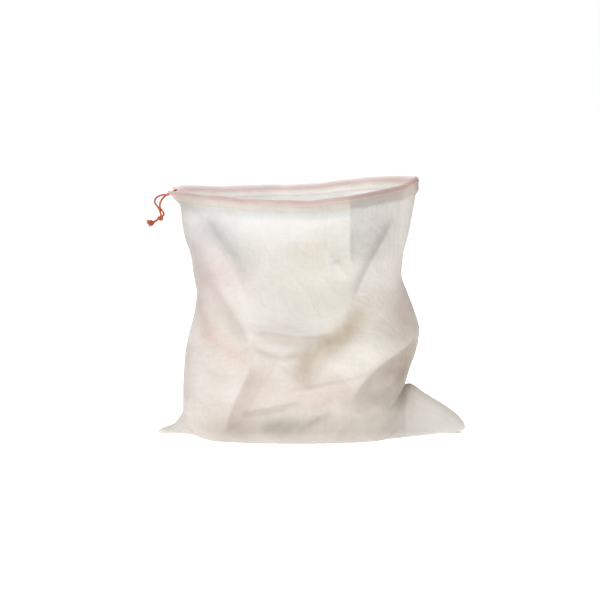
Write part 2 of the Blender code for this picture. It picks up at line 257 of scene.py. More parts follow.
# lines down the panel, half widths to the left and right of them, height in mm
FRONT_LINES = (
    (((-.148, .238), (-.122, .192), (-.107, .166), (-.092, .146), (-.078, .122)),
     .024, .0075, 6.5),
    (((-.046, .108), (-.066, .086), (-.078, .065), (-.09, .038), (-.1, .01)),
     .028, .008, 8.5),
    (((.064, .172), (.053, .148), (.034, .131), (.012, .116), (0, .1),
      (-.016, .078)), .0125, .01, -9.0),
    (((.092, .15), (.062, .118), (.03, .09)), .016, .02, 6.0),
    (((.126, .118), (.112, .097), (.086, .078), (.062, .058), (.057, .038)),
     .012, .015, -11.0),
    (((.112, .288), (.086, .245), (.069, .22), (.056, .2), (.044, .18),
      (.034, .156)), .01, .008, 4.0),
    (((-.16, .288), (-.136, .262), (-.112, .236), (-.096, .214), (-.086, .196)),
     .014, .008, 3.5),
    (((-.148, .235), (-.141, .192), (-.142, .152), (-.153, .118)), .006, .009, -4.5),
    (((-.085, .137), (-.055, .1395), (-.028, .139), (.002, .134)), .005, .007, 4.5),
    (((-.072, .124), (-.04, .112), (-.012, .118)), .0045, .0045, -2.5),
    (((-.03, .068), (.002, .072), (.032, .0795)), .0022, .0022, 1.4),
    (((-.092, .036), (-.062, .038), (-.028, .046)), .005, .0022, 1.8),
    (((-.064, .027), (-.04, .021), (-.018, .026)), .006, .004, -3.2),
    (((-.024, .02), (-.006, .029), (.01, .036)), .003, .004, 2.2),
    (((.052, .236), (.078, .243), (.1, .252)), .0025, .004, 1.4),
    (((.028, .226), (.036, .212), (.044, .206)), .004, .003, 1.8),
    (((.01, .245), (.02, .228), (.022, .205)), .008, .005, 1.6),
    (((-.03, .098), (-.052, .062)), .006, .004, 2.0),
    (((.052, .03), (.078, .046), (.098, .066)), .004, .006, 2.4),
    (((.118, .03), (.14, .026), (.165, .016)), .006, .006, 1.6),
)
FRONT_LUMPS = (     # x, z, half widths, height in mm
    (-.118, .07, .03, .048, 6.5), (-.1, .03, .035, .022, 3.0),
    (.106, .136, .026, .03, 8.0), (-.01, .05, .045, .024, 4.5),
    (-.045, .118, .034, .016, 3.5),
)
BACK_LINES = (
    (((-.15, .262), (-.1, .215), (-.062, .172), (-.04, .13)), .009, .012, 5.0),
    (((.112, .275), (.08, .225), (.05, .185), (.03, .14)), .012, .008, 5.0),
    (((-.105, .165), (-.06, .13), (-.02, .118)), .01, .01, -6.0),
    (((.1, .132), (.06, .11), (.01, .086)), .009, .012, -7.0),
    (((-.05, .112), (-.072, .066), (-.094, .014)), .008, .02, 6.5),
    (((.03, .07), (.054, .044), (.084, .012)), .02, .008, 5.5),
    (((-.03, .052), (.01, .047), (.04, .052)), .003, .003, 1.6),
    (((-.04, .26), (-.032, .23), (-.036, .2)), .006, .004, 1.8),
)
BACK_LUMPS = (
    (-.1, .09, .034, .044, 7.0), (.078, .082, .032, .04, 6.0),
    (-.005, .05, .046, .025, 4.5), (.062, .155, .03, .025, 3.5),
)
LEFT_EDGE = np.array(((.12, -.082), (.15, -.08), (.18, -.08), (.2, -.088), (.215, -.097),
                      (.235, -.111), (.262, -.136), (.29, -.164)))
RIGHT_EDGE = np.array(((.12, -.004), (.135, .012), (.155, .032), (.165, .036), (.185, .046),
                       (.2, .056), (.22, .069), (.245, .086), (.275, .106), (.29, .116)))
CREASE_X, CREASE_HIGH = 0.0475, 5.0     # the pressed crease below the rim: place, height in mm


def hollow(x, z, side):
    """The slack of the panel hanging inward between two diagonal folds."""
    left = np.interp(z, LEFT_EDGE[:, 0], LEFT_EDGE[:, 1])
    right = np.interp(z, RIGHT_EDGE[:, 0], RIGHT_EDGE[:, 1])
    if side > 0:
        left, right = -0.85 * right - 0.02, -0.85 * left - 0.02
    t = np.clip((x - left) / (right - left), 0, 1)
    deep = ease((z - 0.128) / 0.075) * ease((0.292 - z) / 0.060)
    return (1 - np.abs(2 * t - 1) ** 2.3) * deep


def crumple(x, z, side):
    """Shallow pressed-in creases all over, in mm."""
    a = x + 0.35 * z + 0.006 * np.sin(70 * z + side)
    b = z - 0.45 * x + 0.007 * np.sin(60 * x + 2 * side)
    c = x * 0.6 + z * 0.9 + 0.008 * np.sin(55 * (x - z))
    out = -np.abs(np.sin(92 * a + 1.3)) * np.abs(np.sin(41 * b + 0.4))
    out = out - 0.8 * np.abs(np.sin(63 * c + 2.2)) * np.abs(np.sin(77 * b + 1.0))
    return out + 0.9


def tuck(down):
    """How far the outer cloth draws in under the rim's roll, in mm."""
    return np.interp(down, (0, 4.8, 5.7, 7.0, 9.5, 12.5, 14.5, 17),
                     (0.4, 1.3, 1.7, 1.5, 0.8, 0.4, 0.55, 0.0))


def body(side, u, v):
    """Outer face of a panel with its large folds."""
    P = skin(side, u, v)
    x, z = P[..., 0], P[..., 2]
    out = -HOLLOW * hollow(x, z, side)
    for lx, lz, hx, hz, high in (FRONT_LUMPS if side < 0 else BACK_LUMPS):
        out = out + high * bump(np.hypot((x - lx) / hx, (z - lz) / hz))
    for line, left, right, high in (FRONT_LINES if side < 0 else BACK_LINES):
        out = out + high * ridge(x, z, line, left, right)
    out = out + CRUMPLE * crumple(x, z, side) * ease((z - 0.01) / 0.02)
    s = np.sin(np.pi * np.clip(u, 0, 1)) + 0 * v
    free = np.clip(s, 0, 1) ** 0.6 * ease((v - 0.16) / 0.05) * ease((0.985 - v) / 0.045)
    if side < 0:
        flap = np.where(x < CREASE_X, 1 + (x - CREASE_X) / 0.030, 1 - (x - CREASE_X) / 0.060)
        out = out * free + CREASE_HIGH * np.clip(flap, 0, 1) * ease((z - 0.200) / 0.025)
    else:
        out = out * free
    P[..., 1] += side * out * MM
    return P


def rim_point(side, u, down, deep):
    """Point so many mm below the rim and inside the outer face."""
    u = np.asarray(u, float)
    return body(side, u, 1 - down * MM / WALL) - outward(side, u) * (deep * MM)


def folded(side, u, v):
    """Outer face of a panel, drawn in under the roll and puckered at the stitching."""
    down = (1 - v) * WALL / MM
    pucker = np.sin(2 * np.pi * (34 * u + 0.5 * np.sin(29 * u))) + 0.6 * np.sin(2 * np.pi * 53 * u + side)
    inward = tuck(down) * (v > 0.9) + PUCKER * pucker * bump((down - STITCH_DOWN) / 8.0)
    return body(side, u, v) - outward(side, u) * inward[..., None] * MM


# -------------------------------------------------- mesh tools
def mesh_object(name, verts, faces, mat=None, smooth=True, uv=None, paint=None, kinds=None):
    """Mesh from arrays; uv and paint hold one row for each point."""
    verts = np.asarray(verts, float).reshape(-1, 3)
    faces = [tuple(map(int, f)) for f in faces]
    mesh = bpy.data.meshes.new(name)
    mesh.from_pydata(verts.tolist(), [], faces)
    for m in (mat if isinstance(mat, (list, tuple)) else [mat]):
        if m:
            mesh.materials.append(m)
    mesh.polygons.foreach_set("use_smooth", [smooth] * len(mesh.polygons))
    if kinds is not None:
        mesh.polygons.foreach_set("material_index", kinds)
    corner = np.empty(len(mesh.loops), int)
    mesh.loops.foreach_get("vertex_index", corner)
    if uv is not None:
        layer = mesh.uv_layers.new(name="flat")
        layer.data.foreach_set("uv", np.asarray(uv, np.float32).reshape(-1, 2)[corner].ravel())
    if paint is not None:
        rgba = np.concatenate((np.asarray(paint).reshape(-1, 3), np.ones((len(verts), 1))), 1)
        # the vertex colours hold painted shade, painted highlights and tints
        layer = mesh.color_attributes.new("PaintedShadeAndTint", "FLOAT_COLOR", "POINT")
        layer.data.foreach_set("color", rgba.astype(np.float32).ravel())
    mesh.update()
    obj = bpy.data.objects.new(name, mesh)
    bpy.context.scene.collection.objects.link(obj)
    return obj


def grid_faces(rows, cols, flip=False, wrap=False):
    index = np.arange(rows * cols).reshape(rows, cols)
    if wrap:
        index = np.concatenate((index, index[:, :1]), 1)
    quad = np.stack((index[:-1, :-1], index[:-1, 1:], index[1:, 1:], index[1:, :-1]), -1)
    quad = quad.reshape(-1, 4)
    return quad[:, ::-1] if flip else quad


def curve_through(points, step):
    """Catmull-Rom curve through the points, sampled about every step."""
    p = np.asarray(points, float)
    p = np.concatenate((2 * p[:1] - p[1:2], p, 2 * p[-1:] - p[-2:-1]))
    t = np.linspace(0, 1, 24, endpoint=False)[:, None]
    fine = [0.5 * (2 * b + (c - a) * t + (2 * a - 5 * b + 4 * c - d) * t ** 2
                   + (3 * b - a - 3 * c + d) * t ** 3)
            for a, b, c, d in zip(p, p[1:], p[2:], p[3:])]
    return spaced(np.concatenate(fine + [p[-2:-1]]), step)


def spaced(line, step):
    """The same line with its points about one step apart."""
    gone = lengths(line)
    at = np.linspace(0, gone[-1], max(3, int(round(gone[-1] / step)) + 1))
    return np.stack([np.interp(at, gone, line[:, k]) for k in range(3)], 1)


def frames_along(line):
    """Tangent and two crossways directions that don't twist, at each point."""
    tangent = np.gradient(line, axis=0)
    tangent /= np.linalg.norm(tangent, axis=1, keepdims=True)
    side = np.cross(tangent[0], (0.0, 0.0, 1.0))
    if np.linalg.norm(side) < 0.1:
        side = np.cross(tangent[0], (0.0, 1.0, 0.0))
    sides = []
    for t in tangent:
        side = side - t * side.dot(t)
        side = side / np.linalg.norm(side)
        sides.append(side)
    sides = np.array(sides)
    return tangent, sides, np.cross(tangent, sides)


def tube(line, radius, sides, lobes=0):
    """Points and faces of a tube; with lobes it is that many strands twisted together."""
    tangent, a, b = frames_along(line)
    radius = np.broadcast_to(np.asarray(radius, float), (len(line),))
    gone = lengths(line)
    phi = np.linspace(0, 2 * np.pi, sides, endpoint=False)[None, :]
    r = radius[:, None] + 0 * phi
    groove = 0 * r
    if lobes:
        groove = 1 - np.abs(np.cos(lobes / 2 * (phi - 2 * np.pi * gone[:, None] / LAY))) ** 0.7
        r = r * (1.04 - 0.22 * groove)
    ring = (line[:, None] + a[:, None] * (r * np.cos(phi))[..., None]
            + b[:, None] * (r * np.sin(phi))[..., None])
    faces = [tuple(f) for f in grid_faces(len(line), sides, wrap=True)]
    faces.append(tuple(range(sides))[::-1])
    faces.append(tuple((len(line) - 1) * sides + i for i in range(sides)))
    return ring.reshape(-1, 3), faces, groove.ravel()


def joined(parts):
    """Points and faces of several (points, faces) pairs as one."""
    points, faces, n = [], [], 0
    for p, f in parts:
        points.append(np.asarray(p).reshape(-1, 3))
        faces += [tuple(int(i) + n for i in face) for face in f]
        n += len(points[-1])
    return np.concatenate(points), faces


# -------------------------------------------------- materials
class Nodes:
    """A material under construction."""

    def __init__(self, name):
        self.material = bpy.data.materials.new(name)
        self.material.use_nodes = True
        self.tree = self.material.node_tree
        self.tree.nodes.clear()

    def add(self, kind, inputs=None, **settings):
        node = self.tree.nodes.new("ShaderNode" + kind)
        for key, value in settings.items():
            setattr(node, key, value)
        for key, value in (inputs or {}).items():
            if isinstance(value, bpy.types.NodeSocket):
                self.tree.links.new(value, node.inputs[key])
            else:
                node.inputs[key].default_value = value
        return node

    def math(self, operation, a, b=0.0, clamp=False):
        node = self.add("Math", {0: a, 1: b}, operation=operation)
        node.use_clamp = clamp
        return node.outputs[0]

    def noise(self, vector, scale, detail=3.0, roughness=0.55):
        return self.add("TexNoise", {"Vector": vector, "Scale": scale, "Detail": detail,
                                     "Roughness": roughness}).outputs["Fac"]

    def remap(self, value, low, high, to_low, to_high):
        return self.add("MapRange", {0: value, 1: low, 2: high, 3: to_low, 4: to_high}).outputs[0]

    def mix(self, factor, a, b, kind="MIX"):
        node = self.add("Mix", data_type="RGBA", blend_type=kind)
        for socket, value in ((0, factor), (6, a), (7, b)):
            if isinstance(value, bpy.types.NodeSocket):
                self.tree.links.new(value, node.inputs[socket])
            else:
                node.inputs[socket].default_value = value if socket == 0 else (*value, 1)
        return node.outputs[2]

    def finish(self, shader):
        out = self.add("OutputMaterial")
        self.tree.links.new(shader, out.inputs["Surface"])
        return self.material


def cloth_material(name, light, dark, solid, pitch=0.75 * MM, glow=0.30):
    """Sheer plain weave: round threads with gaps between them, slubs, soft mottling."""
    n = Nodes(name)
    flat = n.add("UVMap", uv_map="flat").outputs[0]
    place = n.add("TexCoord").outputs["Object"]
    x, y = (n.add("SeparateXYZ", {0: flat}).outputs[i] for i in (0, 1))
    wobble = n.remap(n.noise(place, 90.0), 0, 1, -0.25 * MM, 0.25 * MM)
    warp, weft = (n.math("ABSOLUTE", n.math("SINE", n.math("MULTIPLY", n.math("ADD", way, wobble),
                                                           math.pi / pitch))) for way in (x, y))
    threads = n.math("MAXIMUM", warp, weft)
    streaks, drops = (n.noise(n.add("Mapping", {"Vector": flat, "Scale": scale}).outputs[0], 1.0, 4.0)
                      for scale in ((14.0, 900.0, 1.0), (900.0, 14.0, 1.0)))
    slub = n.math("ADD", streaks, drops)
    mottle = n.noise(place, 22.0, 5.0, 0.6)
    colour = n.mix(n.remap(mottle, 0.36, 0.64, 0, 1), dark, light)
    # painted shade and painted highlights, with tints, from the vertex colours
    colour = n.mix(1.0, colour, n.add("VertexColor", layer_name="PaintedShadeAndTint").outputs[0], "MULTIPLY")
    colour = n.mix(n.remap(slub, 0.80, 1.22, 0, 0.16), colour, (0.95, 0.93, 0.90), "MULTIPLY")
    colour = n.mix(n.remap(threads, 0.55, 0.95, 0.16, 0.0), colour, (0.55, 0.50, 0.46), "MULTIPLY")
    cover = n.remap(threads, 0.35, 0.85, solid[0], solid[1])
    cover = n.math("ADD", cover, n.remap(slub, 0.8, 1.2, -0.04, 0.04), clamp=True)
    crumple = n.noise(place, 75.0, 4.0, 0.6)
    pressed = n.math("ABSOLUTE", n.math("SUBTRACT", n.noise(place, 34.0, 3.0, 0.55), 0.5))
    bump_small = n.add("Bump", {"Strength": 0.45, "Distance": 0.15 * MM, "Height": threads})
    bump_fine = n.add("Bump", {"Strength": 0.40, "Distance": 1.5 * MM, "Height": crumple,
                               "Normal": bump_small.outputs[0]})
    bump_all = n.add("Bump", {"Strength": 0.55, "Distance": 7.0 * MM, "Height": pressed,
                              "Normal": bump_fine.outputs[0]}).outputs[0]
    body = n.add("BsdfPrincipled", {"Base Color": colour, "Roughness": 0.88, "Normal": bump_all,
                                    "Sheen Weight": 0.12, "Sheen Roughness": 0.6,
                                    "Specular IOR Level": 0.2})
    behind = n.add("BsdfTranslucent", {"Color": colour, "Normal": bump_all})
    both = n.add("MixShader", {0: glow, 1: body.outputs[0], 2: behind.outputs[0]})
    clear = n.add("BsdfTransparent")
    return n.finish(n.add("MixShader", {0: cover, 1: clear.outputs[0], 2: both.outputs[0]}).outputs[0])


def cord_material():
    """Soft twisted cotton, fuzzy: painted shade darkens it in the grooves, painted highlights brighten its
    fibres.
    """
    n = Nodes("drawcord")
    place = n.add("TexCoord").outputs["Object"]
    # painted shade in the cord's grooves, from the vertex colours
    groove = n.add("VertexColor", layer_name="PaintedShadeAndTint").outputs[0]
    fibre = n.noise(place, 1500.0, 4.0, 0.7)
    worn = n.noise(place, 160.0, 3.0, 0.6)
    colour = n.mix(n.remap(worn, 0.35, 0.65, 0, 1), (0.34, 0.048, 0.010), (0.49, 0.092, 0.022))
    # painted highlights: fine random specks on the fibres lightened towards bright orange
    colour = n.mix(n.remap(fibre, 0.35, 0.70, 0, 0.5), colour, (0.70, 0.20, 0.07))
    colour = n.mix(1.0, colour, groove, "MULTIPLY")
    relief = n.add("Bump", {"Strength": 0.5, "Distance": 0.12 * MM, "Height": fibre})
    body = n.add("BsdfPrincipled", {"Base Color": colour, "Roughness": 0.82, "Sheen Weight": 0.25,
                                    "Sheen Roughness": 0.5, "Normal": relief.outputs[0]})
    return n.finish(body.outputs[0])


def thread_material():
    n = Nodes("sewing_thread")
    place = n.add("TexCoord").outputs["Object"]
    twist = n.noise(place, 2200.0, 3.0, 0.6)
    tone = n.noise(place, 130.0, 2.0)
    colour = n.mix(n.remap(tone, 0.35, 0.65, 0, 1), (0.70, 0.63, 0.53), (0.84, 0.79, 0.70))
    colour = n.mix(n.remap(twist, 0.3, 0.7, 0, 0.3), colour, (0.5, 0.44, 0.36))
    relief = n.add("Bump", {"Strength": 0.4, "Distance": 0.08 * MM, "Height": twist})
    body = n.add("BsdfPrincipled", {"Base Color": colour, "Roughness": 0.7, "Normal": relief.outputs[0]})
    return n.finish(body.outputs[0])


PANEL = cloth_material("panel_cloth", (0.79, 0.77, 0.732), (0.745, 0.715, 0.672), (0.72, 0.965))
# a lighter copy of the panel cloth: painted light for the hem's inside, which the lamps reach less
HEM_MAT_PAINTED_LIGHT = cloth_material("hem_cloth", (0.91, 0.90, 0.875), (0.86, 0.845, 0.82), (0.72, 0.965))
SEAM_MAT = cloth_material("seam_cloth", (0.76, 0.72, 0.64), (0.70, 0.65, 0.57), (0.94, 1.0), glow=0.1)
CORD = cord_material()
THREAD = thread_material()

# -------------------------------------------------- the cloth
NU, NV = 240, 264           # cells of each panel
SIM_NU, SIM_NV = 104, 116   # cells for the cloth simulation
TOP_V = 0.985               # the cloth is simulated up to here; the roll is built above


def even_u(count):
    """Values of u an equal distance apart along the rim."""
    fine = np.linspace(0, 1, 4001)
    line = skin(-1, fine, 1.0)[:, :2]
    gone = lengths(line)
    return np.interp(np.linspace(0, gone[-1], count + 1), gone, fine)


def levels(count):
    """Values of v from the base to the rim, one of them where the side opens."""
    top = count // 16
    return np.concatenate((np.linspace(0, OPEN_V, count - top, endpoint=False),
                           np.linspace(OPEN_V, TOP_V, top + 1)))[:, None]


U, V = even_u(NU)[None, :], levels(NV)
SIM_U, SIM_V = even_u(SIM_NU)[None, :], levels(SIM_NV)
# painted shade and painted highlights, with tints of the contents seen through the cloth, on the panels: x,
# z, half widths, colour
PAINTED_SHADE_AND_TINTS = {-1: (
    (-.045, .268, .085, .022, (.93, .955, .995)),
    (0, .248, .06, .03, (.9, .89, .87)),
    (-.135, .262, .022, .034, (.93, .92, .95)),
    (-.125, .206, .02, .026, (.99, .9, .95)),
    (-.098, .2, .016, .012, (1.00, .94, .96)),
    (-.158, .29, .022, .014, (.76, .74, .72)),
    (-.13, .15, .022, .024, (.96, .9, .88)),
    (.01, .2, .05, .05, (.95, .95, .91)),
    (-.022, .122, .02, .01, (.88, .89, .88)),
    (.093, .285, .042, .022, (.84, .83, .83)),
    (.099, .301, .022, .009, (.82, .81, .82)),
    (.088, .268, .02, .022, (.94, .93, .94)),
    (.132, .312, .004, .01, (.74, .72, .72)),
    (.114, .15, .024, .038, (.79, .72, .68)),
    (.111, .16, .01, .022, (.93, .87, .85)),
    (.083, .124, .014, .01, (.94, .96, .94)),
    (.054, .112, .028, .016, (1.08, 1.09, 1.08)),
    (.022, .1, .024, .012, (1.04, 1.03, 1.02)),
    (-.098, .02, .018, .013, (.78, .76, .74)),
    (-.045, .024, .026, .01, (.7, .7, .68)),
    (-.002, .028, .03, .008, (.9, .89, .87)),
    (-.03, .028, .034, .014, (.9, .89, .87)),
    (-.02, .012, .1, .016, (.84, .83, .82)),
    (-.11, .07, .06, .07, (.99, .955, .95)),
    (.02, .05, .09, .05, (1.00, .965, .95)),
    (.09, .09, .014, .012, (.84, .82, .79)),
    (.11, .082, .009, .018, (.74, .69, .62)),
    (.098, .056, .02, .012, (.82, .79, .76)),
    (.06, .028, .05, .03, (.88, .86, .84)),
    (-.124, .024, .028, .02, (.94, .91, .89)),
    (-.092, .1, .016, .012, (1.03, 1.03, 1.01)),
    # painted light on the upper right of the front
    (.106, .25, .02, .05, (1.15, 1.13, 1.11)),
    (.01, .065, .034, .016, (.98, .91, .88)),
), 1: (
    (-.12, .18, .04, .06, (.96, .88, .86)),
    (.03, .26, .09, .03, (1.00, 1.03, 1.06)),
    # painted light on the shaded inside of the back rim
    (0, .306, .17, .024, (1.14, 1.14, 1.15)),
    (.06, .12, .03, .05, (.88, .82, .75)),
    (-.03, .06, .05, .03, (.92, .86, .8)),
    (.12, .07, .03, .04, (.88, .81, .77)),
    (-.02, .01, .1, .02, (.86, .84, .82)),
)}
# painted shade along the folds, a few of them tinted pink: line, half widths to its left and right, colour
PAINTED_FOLD_SHADE = {-1: (
    (((-.134, .28), (-.12, .26), (-.106, .242), (-.089, .224), (-.076, .198)),
     .006, .016, (.86, .87, .88)),
    (((-.132, .276), (-.118, .257), (-.104, .24), (-.09, .224)),
     .0022, .007, (.88, .88, .89)),
    (((-.134, .222), (-.124, .197), (-.112, .177), (-.098, .156), (-.086, .137),
      (-.078, .122)), .011, .0045, (.8, .77, .74)),
    (((-.157, .256), (-.148, .236), (-.139, .216), (-.137, .19), (-.137, .164),
      (-.132, .142), (-.122, .126)), .006, .009, (.84, .82, .81)),
    (((-.168, .29), (-.158, .25), (-.149, .21), (-.148, .17), (-.152, .136)),
     .008, .008, (.88, .87, .88)),
    (((-.137, .138), (-.113, .124), (-.088, .11), (-.07, .103)),
     .011, .009, (.97, .87, .85)),
    (((-.077, .136), (-.061, .1395), (-.038, .137), (-.016, .134), (.007, .134),
      (.028, .138)), .0085, .002, (.8, .74, .71)),
    (((-.076, .122), (-.056, .114), (-.034, .109), (-.016, .11), (.002, .117)),
     .003, .005, (.91, .88, .86)),
    (((-.073, .107), (-.075, .09), (-.083, .073), (-.091, .057), (-.097, .041),
      (-.102, .026), (-.106, .01)), .0022, .021, (.8, .73, .7)),
    (((-.09, .04), (-.063, .0445), (-.038, .05), (-.01, .056)),
     .005, .0018, (.84, .81, .79)),
    (((-.022, .016), (-.009, .025), (.007, .035), (.026, .042)),
     .006, .002, (.84, .82, .79)),
    (((-.018, .072), (.009, .077), (.041, .0815), (.062, .087), (.084, .097)),
     .004, .0013, (.91, .89, .88)),
    (((.066, .184), (.058, .162), (.048, .147), (.037, .135), (.022, .125),
      (.004, .115), (-.008, .104), (-.013, .088), (-.013, .07)),
     .012, .012, (.76, .69, .6)),
    (((.05, .15), (.036, .134), (.014, .122)), .007, .006, (.88, .85, .8)),
    (((.101, .276), (.089, .255), (.079, .239), (.071, .226), (.063, .212),
      (.056, .196), (.048, .176)), .0055, .002, (.74, .72, .71)),
    (((.047, .304), (.047, .262), (.0475, .22)), .0014, .052, (.83, .83, .845)),
    (((.047, .262), (.0475, .222)), .0016, .0026, (.9, .9, .9)),
    (((.132, .13), (.119, .117), (.102, .106), (.084, .094), (.069, .081),
      (.058, .066), (.05, .05)), .0028, .036, (.69, .64, .6)),
    (((.117, .06), (.115, .036), (.114, .004)), .04, .002, (.86, .85, .83)),
    (((-.157, .126), (-.161, .084), (-.16, .04)), .004, .014, (.86, .85, .83)),
    (((-.036, .244), (.008, .246), (.014, .226), (.012, .206)),
     .018, .002, (.96, .95, .91)),
    (((-.13, .092), (-.112, .083), (-.096, .086)), .004, .002, (.94, .93, .92)),
    (((.016, .27), (.028, .24), (.024, .216)), .004, .014, (.93, .93, .93)),
    (((.028, .062), (.01, .05), (-.016, .046)), .004, .003, (.94, .92, .91)),
), 1: tuple((fold[0], *mark) for fold, mark in zip(BACK_LINES, (
    (.004, .014, (.85, .85, .85)), (.014, .004, (.85, .84, .82)), (.01, .01, (.86, .8, .76)),
    (.009, .012, (.84, .77, .68)), (.003, .022, (.82, .77, .74)), (.02, .003, (.82, .78, .75)))))}
ROSE = (1.00, .78, .76)     # the dye that the cord has left in the rim
DOUBLED = (.95, .925, .885)        # cloth seen against the turned part of the hem
STITCH_SHADE = (.86, .85, .83)
BELOW_HEM = (.80, .83, .83)          # shade just under the hem
RIM_LINE = (.85, .86, .86)           # the cord showing dark through the front rim


def tinted(out, w, colour):
    return out * (1 - w[..., None] + w[..., None] * np.array(colour))


def painted_shade_and_tint(side, P, rim, doubled=DOUBLED):
    """Colour that multiplies the cloth's own: painted shade and painted highlights along the folds, at the
    stitching and under the hem, tints of what shows through, and pink near the cord, where rim is the
    distance below the rim in mm."""
    x, z = P[..., 0], P[..., 2]
    out = np.ones(P.shape)
    patch = 0.5 + 0.5 * np.sin(170 * x + 2.1 * np.sin(130 * z)) * np.sin(150 * z + 1.7 * np.sin(90 * x))
    parts = [(bump(np.hypot((x - sx) / hx, (z - sz) / hz)), colour)
             for sx, sz, hx, hz, colour in PAINTED_SHADE_AND_TINTS[side]]
    parts += [(ridge(x, z, line, left, right), colour) for line, left, right, colour in PAINTED_FOLD_SHADE[side]]
    for w, colour in parts:
        out = tinted(out, w * (0.82 + 0.18 * patch), colour)
    w = np.interp(rim, (5.5, 7.0, 14.0, 15.2), (0.0, 1.0, 1.0, 0.0))
    out = tinted(out, w, doubled)
    w = np.interp(rim, (13.6, 14.4, 14.9, 16.0), (0.0, 1.0, 1.0, 0.0)) * (0.6 + 0.4 * patch)
    out = tinted(out, w, STITCH_SHADE)
    w = np.interp(rim, (15.6, 17.0, 21.0, 27.0), (0.0, 1.0, 0.8, 0.0)) * ease((0.06 - x) / 0.02)
    out = tinted(out, w, BELOW_HEM)
    if side < 0:
        w = np.interp(rim, (0.1, 1.0, 4.2, 6.0, 8.0, 16), (0.9, 1.0, 1.0, 0.5, 0.14, 0.0))
    else:
        w = 0.85 * np.interp(rim, (1.0, 2.8, 4.2, 5.8, 7.0), (0.10, 0.45, 1.0, 1.0, 0.0))
    out = tinted(out, w * (0.55 + 0.45 * patch), ROSE)
    w = np.interp(rim, (0.6, 1.8, 4.0, 5.4), (0.0, 1.0, 1.0, 0.0)) * (side < 0)
    w = w * (0.35 + 0.65 * np.maximum(ease((x - 0.03) / 0.03), ease((-0.05 - x) / 0.04)))
    return tinted(out, w, RIM_LINE)


def sewn_bag(u, v):
    """Both panels in one mesh, sharing the points of their seams."""
    front, back = folded(-1, u, v), folded(1, u, v)
    rows, cols = front.shape[:2]
    index = np.arange(2 * rows * cols).reshape(2, rows, cols)
    index[1, 0, :] = index[0, 0, :]
    index[1, :, -1] = index[0, :, -1]
    sewn = v[:, 0] <= OPEN_V + 1e-6
    index[1, sewn, 0] = index[0, sewn, 0]
    used, dense = np.unique(index, return_inverse=True)
    dense = dense.reshape(index.shape)
    points = np.concatenate((front.reshape(-1, 3), back.reshape(-1, 3)))[used]
    faces = []
    for k in (0, 1):
        d = dense[k]
        quad = np.stack((d[:-1, :-1], d[:-1, 1:], d[1:, 1:], d[1:, :-1]), -1).reshape(-1, 4)
        faces.append(quad if k == 0 else quad[:, ::-1])
    return points, np.concatenate(faces), dense


def simulate(points, faces, dense):
    """Slack cloth settling on its shape: the panels are cut a little larger than
    the shape that holds them, so they buckle into folds."""
    obj = mesh_object("sim", points, faces)
    weight = np.zeros(len(points))
    u = np.broadcast_to(SIM_U, dense.shape[1:])
    v = np.broadcast_to(SIM_V, dense.shape[1:])
    seam = bump(np.minimum(u, 1 - u) / 0.012)       # seams, base and rim hold firmer
    hold = np.clip(HOLD + 0.5 * seam + 0.9 * ease((0.16 - v) / 0.02)
                   + ease((v - 0.925) / 0.025), 0, 1)
    for k in (0, 1):
        weight[dense[k].ravel()] = hold.ravel()
    group = obj.vertex_groups.new(name="hold")
    weight = np.round(weight, 3)
    for w in np.unique(weight):
        group.add([int(i) for i in np.nonzero(weight == w)[0]], float(w), "REPLACE")
    mod = obj.modifiers.new("cloth", "CLOTH")
    c = mod.settings
    c.quality = 6
    c.mass = 0.2
    c.tension_stiffness = c.compression_stiffness = 20
    c.shear_stiffness = 8
    c.bending_stiffness = 0.3
    c.tension_damping = c.compression_damping = 20
    c.bending_damping = 0.5
    c.air_damping = 2
    c.shrink_min = SLACK
    c.vertex_group_mass = "hold"
    c.pin_stiffness = 1.0
    c.effector_weights.gravity = 0.3
    scene = bpy.context.scene
    for timing in (mod.point_cache, scene):
        timing.frame_start, timing.frame_end = 1, SIM_FRAMES
    for f in range(1, SIM_FRAMES + 1):
        scene.frame_set(f)
    graph = bpy.context.evaluated_depsgraph_get()
    out = obj.evaluated_get(graph).to_mesh()
    done = np.empty(len(out.vertices) * 3)
    out.vertices.foreach_get("co", done)
    bpy.data.objects.remove(obj, do_unlink=True)
    scene.frame_set(1)
    return done.reshape(-1, 3)


def pulled(obj, slot, *nodes):
    """The piece's placement is baked into its points, and it replaces CAD nodes."""
    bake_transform(obj)
    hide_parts(*nodes)
    return obj


def refined(moved, coarse, dense):
    """The simulated movement of the coarse grid, added to the fine one."""
    i = np.interp(V[:, 0], SIM_V[:, 0], np.arange(SIM_NV + 1))
    j = np.interp(U[0], SIM_U[0], np.arange(SIM_NU + 1))
    i0, j0 = np.minimum(i.astype(int), SIM_NV - 1), np.minimum(j.astype(int), SIM_NU - 1)
    a, b = (i - i0)[:, None, None], (j - j0)[None, :, None]
    i0, j0 = i0[:, None], j0[None, :]
    out = np.zeros((dense.max() + 1, 3))
    for k in (0, 1):
        m = moved[coarse[k]]
        low = m[i0, j0] * (1 - b) + m[i0, j0 + 1] * b
        high = m[i0 + 1, j0] * (1 - b) + m[i0 + 1, j0 + 1] * b
        out[dense[k]] = low * (1 - a) + high * a
    return out


points, _, dense = sewn_bag(U, V)
rough, rough_faces, coarse = sewn_bag(SIM_U, SIM_V)
points += refined(simulate(rough, rough_faces, coarse) - rough, coarse, dense)
points[:, 2] = np.maximum(points[:, 2], 0.0)
ROLL = np.radians(np.linspace(-42, 100, 13))
TURN = np.radians(np.linspace(100, 222, 11))
HEM_ROWS = ((6.6, 4.9), (7.6, 3.6), (8.9, 2.5), (10.5, 1.8), (12.5, 1.3), (14.5, 1.05),
            (15.6, 1.2), (16.2, 1.4))


def arc(side, angle):
    """Row of points on the roll round the cord; 90 degrees is its top."""
    return rim_point(side, U[0], ROLL_DOWN - ROLL_R * math.sin(angle), ROLL_DEEP - ROLL_R * math.cos(angle))


